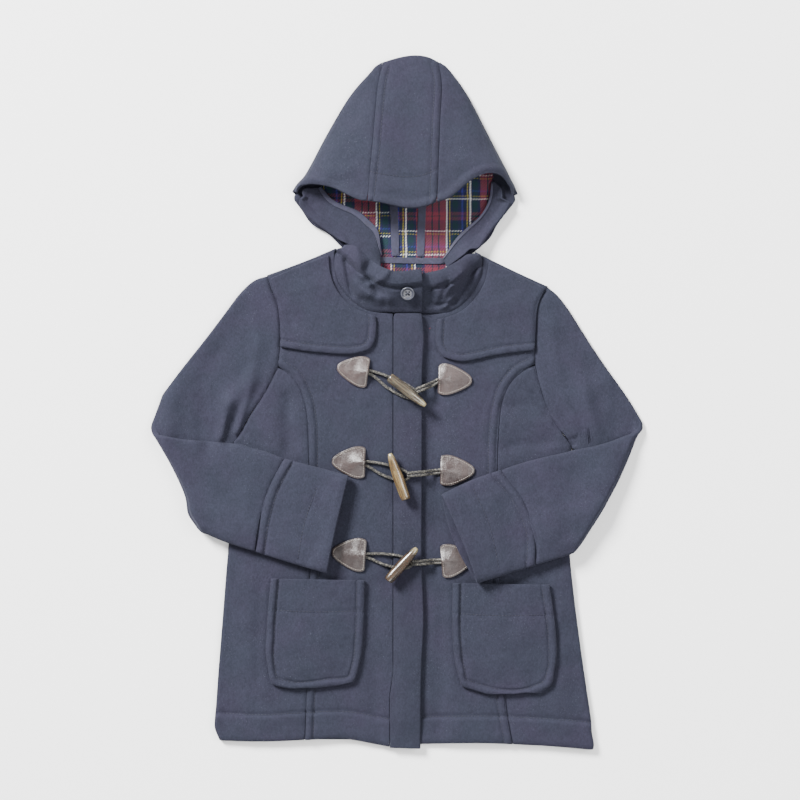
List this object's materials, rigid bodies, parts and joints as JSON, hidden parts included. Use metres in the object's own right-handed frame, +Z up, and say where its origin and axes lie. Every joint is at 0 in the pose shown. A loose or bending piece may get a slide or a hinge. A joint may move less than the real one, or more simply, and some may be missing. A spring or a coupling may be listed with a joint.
{
  "type": "duffle coat",
  "caption": "Child's hooded duffle coat of thick double-faced wool with toggle fastenings, laid on its back with the sleeves folded over the front.",
  "frame": {"origin": "middle of the coat's outline, on the surface that its back lies on", "axes": "+X towards the wearer's left, +Y from the hem towards the hood's crown, +Z up, out of the coat's front"},
  "size_m": [0.5635, 0.7995, 0.0392],
  "materials": {
    "wool": "brushed double-faced wool, heathered slate navy outside, woven tartan reverse",
    "tape": "purple-grey woven binding tape",
    "leather": "glossy taupe-brown grained leather",
    "cord": "braided grey-brown cotton cord",
    "horn": "streaked brown imitation horn, polished",
    "button": "dark slate resin, satin"
  },
  "bodies": {
    "root": {"back": "wool", "front_right_centre": "wool", "front_right_side": "wool", "front_left_centre": "wool", "front_left_side": "wool", "placket": "wool", "yoke_right": "wool", "yoke_left": "wool", "pocket_right": "wool", "pocket_left": "wool", "sleeve_right": "wool", "sleeve_left": "wool", "cuff_right": "wool", "cuff_left": "wool", "hood_side_right": "wool", "hood_side_left": "wool", "hood_centre": "wool", "neck_band_right": "wool", "neck_band_left": "wool", "hood_facing_right": "wool", "hood_facing_left": "wool", "facing_tape_right": "tape", "facing_tape_left": "tape", "gusset_tape_right": "tape", "gusset_tape_left": "tape", "neck_tape": "tape", "neck_button": "button", "loop_patch_1": "leather", "loop_patch_2": "leather", "loop_patch_3": "leather", "toggle_patch_1": "leather", "toggle_patch_2": "leather", "toggle_patch_3": "leather", "loop_cord_1": "cord", "loop_cord_2": "cord", "loop_cord_3": "cord", "toggle_cord_1_upper": "cord", "toggle_cord_1_lower": "cord", "toggle_cord_2_upper": "cord", "toggle_cord_2_lower": "cord", "toggle_cord_3_upper": "cord", "toggle_cord_3_lower": "cord", "toggle_1": "horn", "toggle_2": "horn", "toggle_3": "horn"}
  },
  "joints": []
}
